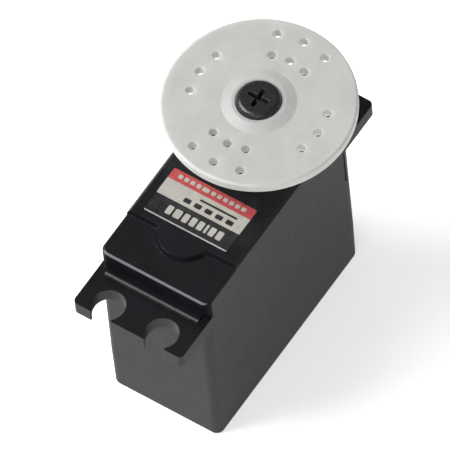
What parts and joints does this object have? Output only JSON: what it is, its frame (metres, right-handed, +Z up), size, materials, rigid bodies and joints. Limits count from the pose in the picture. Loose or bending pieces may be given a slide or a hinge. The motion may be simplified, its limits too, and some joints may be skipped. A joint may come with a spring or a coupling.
{
  "type": "hobby servo motor",
  "caption": "Small black hobby servo motor with end tabs, geared electric drive inside and a round white output horn that turns through half a turn.",
  "frame": {"origin": "centre of the case's foot", "axes": "+X along the case from the motor end to the output end, +Y across it, +Z up along the output shaft"},
  "size_m": [0.045, 0.0254, 0.0396],
  "materials": {
    "case_plastic": "moulded black nylon, satin with fine texture",
    "screw_black": "black oxide",
    "label_film": "printed film, plain colour bands",
    "can_steel": "plated drawn steel",
    "magnet": "ferrite",
    "end_cap_plastic": "white moulding",
    "bronze": "sintered bronze",
    "copper": "copper alloy",
    "winding_copper": "enamelled wire",
    "shaft_steel": "ground steel",
    "core_steel": "stacked laminations",
    "screw_steel": "zinc plated",
    "brass": "machined",
    "gear_steel": "sintered steel",
    "bearing_steel": "polished",
    "cage_brass": "pressed",
    "horn_nylon": "natural white nylon, satin, slightly translucent",
    "pot_shell": "moulded",
    "pot_wafer": "phenolic board",
    "pot_nylon": "moulded",
    "lead_sleeve": "insulated wire",
    "board_green": "solder mask",
    "chip_black": "epoxy",
    "passive_tan": "ceramic",
    "capacitor_yellow": "moulded",
    "grommet_rubber": "soft black rubber"
  },
  "bodies": {
    "case": {"bottom_case": "case_plastic", "middle_case": "case_plastic", "top_case": "case_plastic", "case_screws": "screw_black", "label": "label_film", "motor_can": "can_steel", "motor_magnets": "magnet", "motor_end_cap": "end_cap_plastic", "motor_bushings": "bronze", "motor_terminals": "copper", "motor_brushes": "copper", "motor_screws": "screw_steel", "idler_pin": "shaft_steel", "output_bushing": "bronze", "bearing_outer_ring": "bearing_steel", "pot_housing": "pot_shell", "pot_track": "pot_wafer", "pot_leads": "lead_sleeve", "control_board": "board_green", "controller_chip": "chip_black", "driver_chips": "chip_black", "board_passives": "passive_tan", "board_capacitor": "capacitor_yellow", "cable_grommet": "grommet_rubber"},
    "output": {"output_gear": "brass", "bearing_inner_ring": "bearing_steel", "horn": "horn_nylon", "horn_screw": "screw_black", "pot_rotor": "pot_nylon"},
    "third_gear": {"third_gear": "gear_steel"},
    "second_gear": {"second_gear": "brass"},
    "first_gear": {"first_gear": "gear_steel"},
    "rotor": {"rotor_shaft": "shaft_steel", "armature_core": "core_steel", "armature_windings": "winding_copper", "commutator": "copper", "motor_pinion": "brass"},
    "ball_cage": {"bearing_balls": "bearing_steel", "bearing_cage": "cage_brass"}
  },
  "joints": [
    {"name": "output_turn", "type": "hinge", "parent": "case", "child": "output", "pos_m": [0.0094, 0, 0.026], "axis": [0, 0, 1], "range_deg": [-90, 90]},
    {"name": "third_gear_spin", "type": "hinge", "parent": "case", "child": "third_gear", "pos_m": [0.0014, 0, 0.026], "axis": [0, 0, 1], "continuous": true},
    {"name": "second_gear_spin", "type": "hinge", "parent": "case", "child": "second_gear", "pos_m": [0.0094, 0, 0.026], "axis": [0, 0, 1], "continuous": true},
    {"name": "first_gear_spin", "type": "hinge", "parent": "case", "child": "first_gear", "pos_m": [0.0014, 0, 0.026], "axis": [0, 0, 1], "continuous": true},
    {"name": "rotor_spin", "type": "hinge", "parent": "case", "child": "rotor", "pos_m": [-0.007, 0, 0.026], "axis": [0, 0, 1], "continuous": true},
    {"name": "ball_cage_spin", "type": "hinge", "parent": "case", "child": "ball_cage", "pos_m": [0.0094, 0, 0.026], "axis": [0, 0, 1], "continuous": true}
  ],
  "couplings": [
    {"joint": "third_gear_spin", "follows": "output_turn", "ratio": -2.3333},
    {"joint": "second_gear_spin", "follows": "output_turn", "ratio": 7.3889},
    {"joint": "first_gear_spin", "follows": "output_turn", "ratio": -19},
    {"joint": "rotor_spin", "follows": "output_turn", "ratio": 69.667},
    {"joint": "ball_cage_spin", "follows": "output_turn", "ratio": 0.425}
  ]
}
